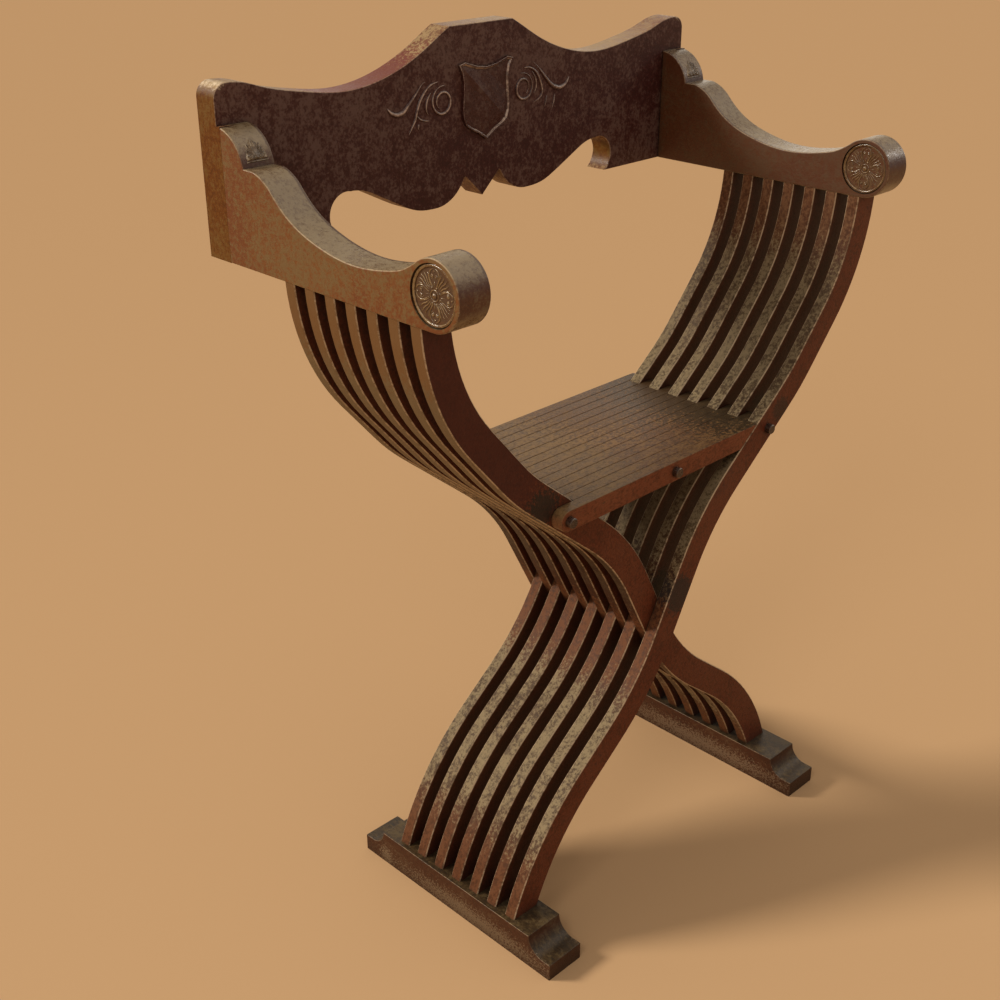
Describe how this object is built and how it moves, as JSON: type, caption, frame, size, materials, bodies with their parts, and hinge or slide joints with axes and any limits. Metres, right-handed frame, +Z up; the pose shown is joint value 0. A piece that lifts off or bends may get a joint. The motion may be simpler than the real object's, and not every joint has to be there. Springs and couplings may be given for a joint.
{
  "type": "savonarola chair",
  "caption": "Folding X-frame armchair of interleaved S-shaped wooden slats with a slatted seat, scrolled arms, runner feet and a lift-off shaped back board.",
  "frame": {"origin": "on the floor, at the centre of the chair's footprint box: midway between the arms' outer faces, and midway between the toes of the feet and the back of the back board", "axes": "+Z up; the sitter faces -Y; +X to the sitter's left, which is the right as seen from the front"},
  "size_m": [0.66, 0.3672, 0.9025],
  "materials": {
    "slat_walnut": "dark stained, worn satin wax with pale mottled patina",
    "seat_walnut": "dark stained, rubbed satin",
    "arm_walnut": "dark stained, polished by hands",
    "board_walnut": "very dark stain, satin wax",
    "foot_walnut": "dark stained, worn and dusty",
    "pin_walnut": "dark turned dowel, satin"
  },
  "bodies": {
    "right_frame": {"slat_right_1": "slat_walnut", "slat_right_2": "slat_walnut", "slat_right_3": "slat_walnut", "slat_right_4": "slat_walnut", "slat_right_5": "slat_walnut", "slat_right_6": "slat_walnut", "slat_right_7": "slat_walnut", "arm_right": "arm_walnut", "foot_left": "foot_walnut", "pivot_rod": "pin_walnut", "seat_rod_right": "pin_walnut"},
    "left_frame": {"slat_left_1": "slat_walnut", "slat_left_2": "slat_walnut", "slat_left_3": "slat_walnut", "slat_left_4": "slat_walnut", "slat_left_5": "slat_walnut", "slat_left_6": "slat_walnut", "slat_left_7": "slat_walnut", "arm_left": "arm_walnut", "foot_right": "foot_walnut", "seat_rod_left": "pin_walnut"},
    "right_strips": {"seat_strip_right_1": "seat_walnut", "seat_strip_right_2": "seat_walnut", "seat_strip_right_3": "seat_walnut", "seat_strip_right_4": "seat_walnut", "seat_strip_right_5": "seat_walnut", "seat_strip_right_6": "seat_walnut", "seat_strip_right_7": "seat_walnut", "middle_pins_right_strips": "pin_walnut"},
    "left_strips": {"seat_strip_left_1": "seat_walnut", "seat_strip_left_2": "seat_walnut", "seat_strip_left_3": "seat_walnut", "seat_strip_left_4": "seat_walnut", "seat_strip_left_5": "seat_walnut", "seat_strip_left_6": "seat_walnut", "seat_strip_left_7": "seat_walnut", "middle_pins_left_strips": "pin_walnut"},
    "back": {"back_board": "board_walnut"}
  },
  "joints": [
    {"name": "fold", "type": "hinge", "parent": "right_frame", "child": "left_frame", "pos_m": [0, -0.0277, 0.2985], "axis": [0, 1, 0], "range_deg": [0, 54]},
    {"name": "right_strips_turn", "type": "hinge", "parent": "right_frame", "child": "right_strips", "pos_m": [0.16, -0.0277, 0.4885], "axis": [0, 1, 0], "range_deg": [0, 96.9]},
    {"name": "left_strips_turn", "type": "hinge", "parent": "left_frame", "child": "left_strips", "pos_m": [-0.16, -0.0277, 0.4885], "axis": [0, 1, 0], "range_deg": [-96.9, 0]},
    {"name": "back_lift", "type": "slide", "parent": "right_frame", "child": "back", "axis": [0, 0, 1], "range_m": [0, 0.13]}
  ],
  "couplings": [
    {"joint": "right_strips_turn", "follows": "fold", "ratio": 1.7851},
    {"joint": "left_strips_turn", "follows": "fold", "ratio": -1.7851}
  ]
}
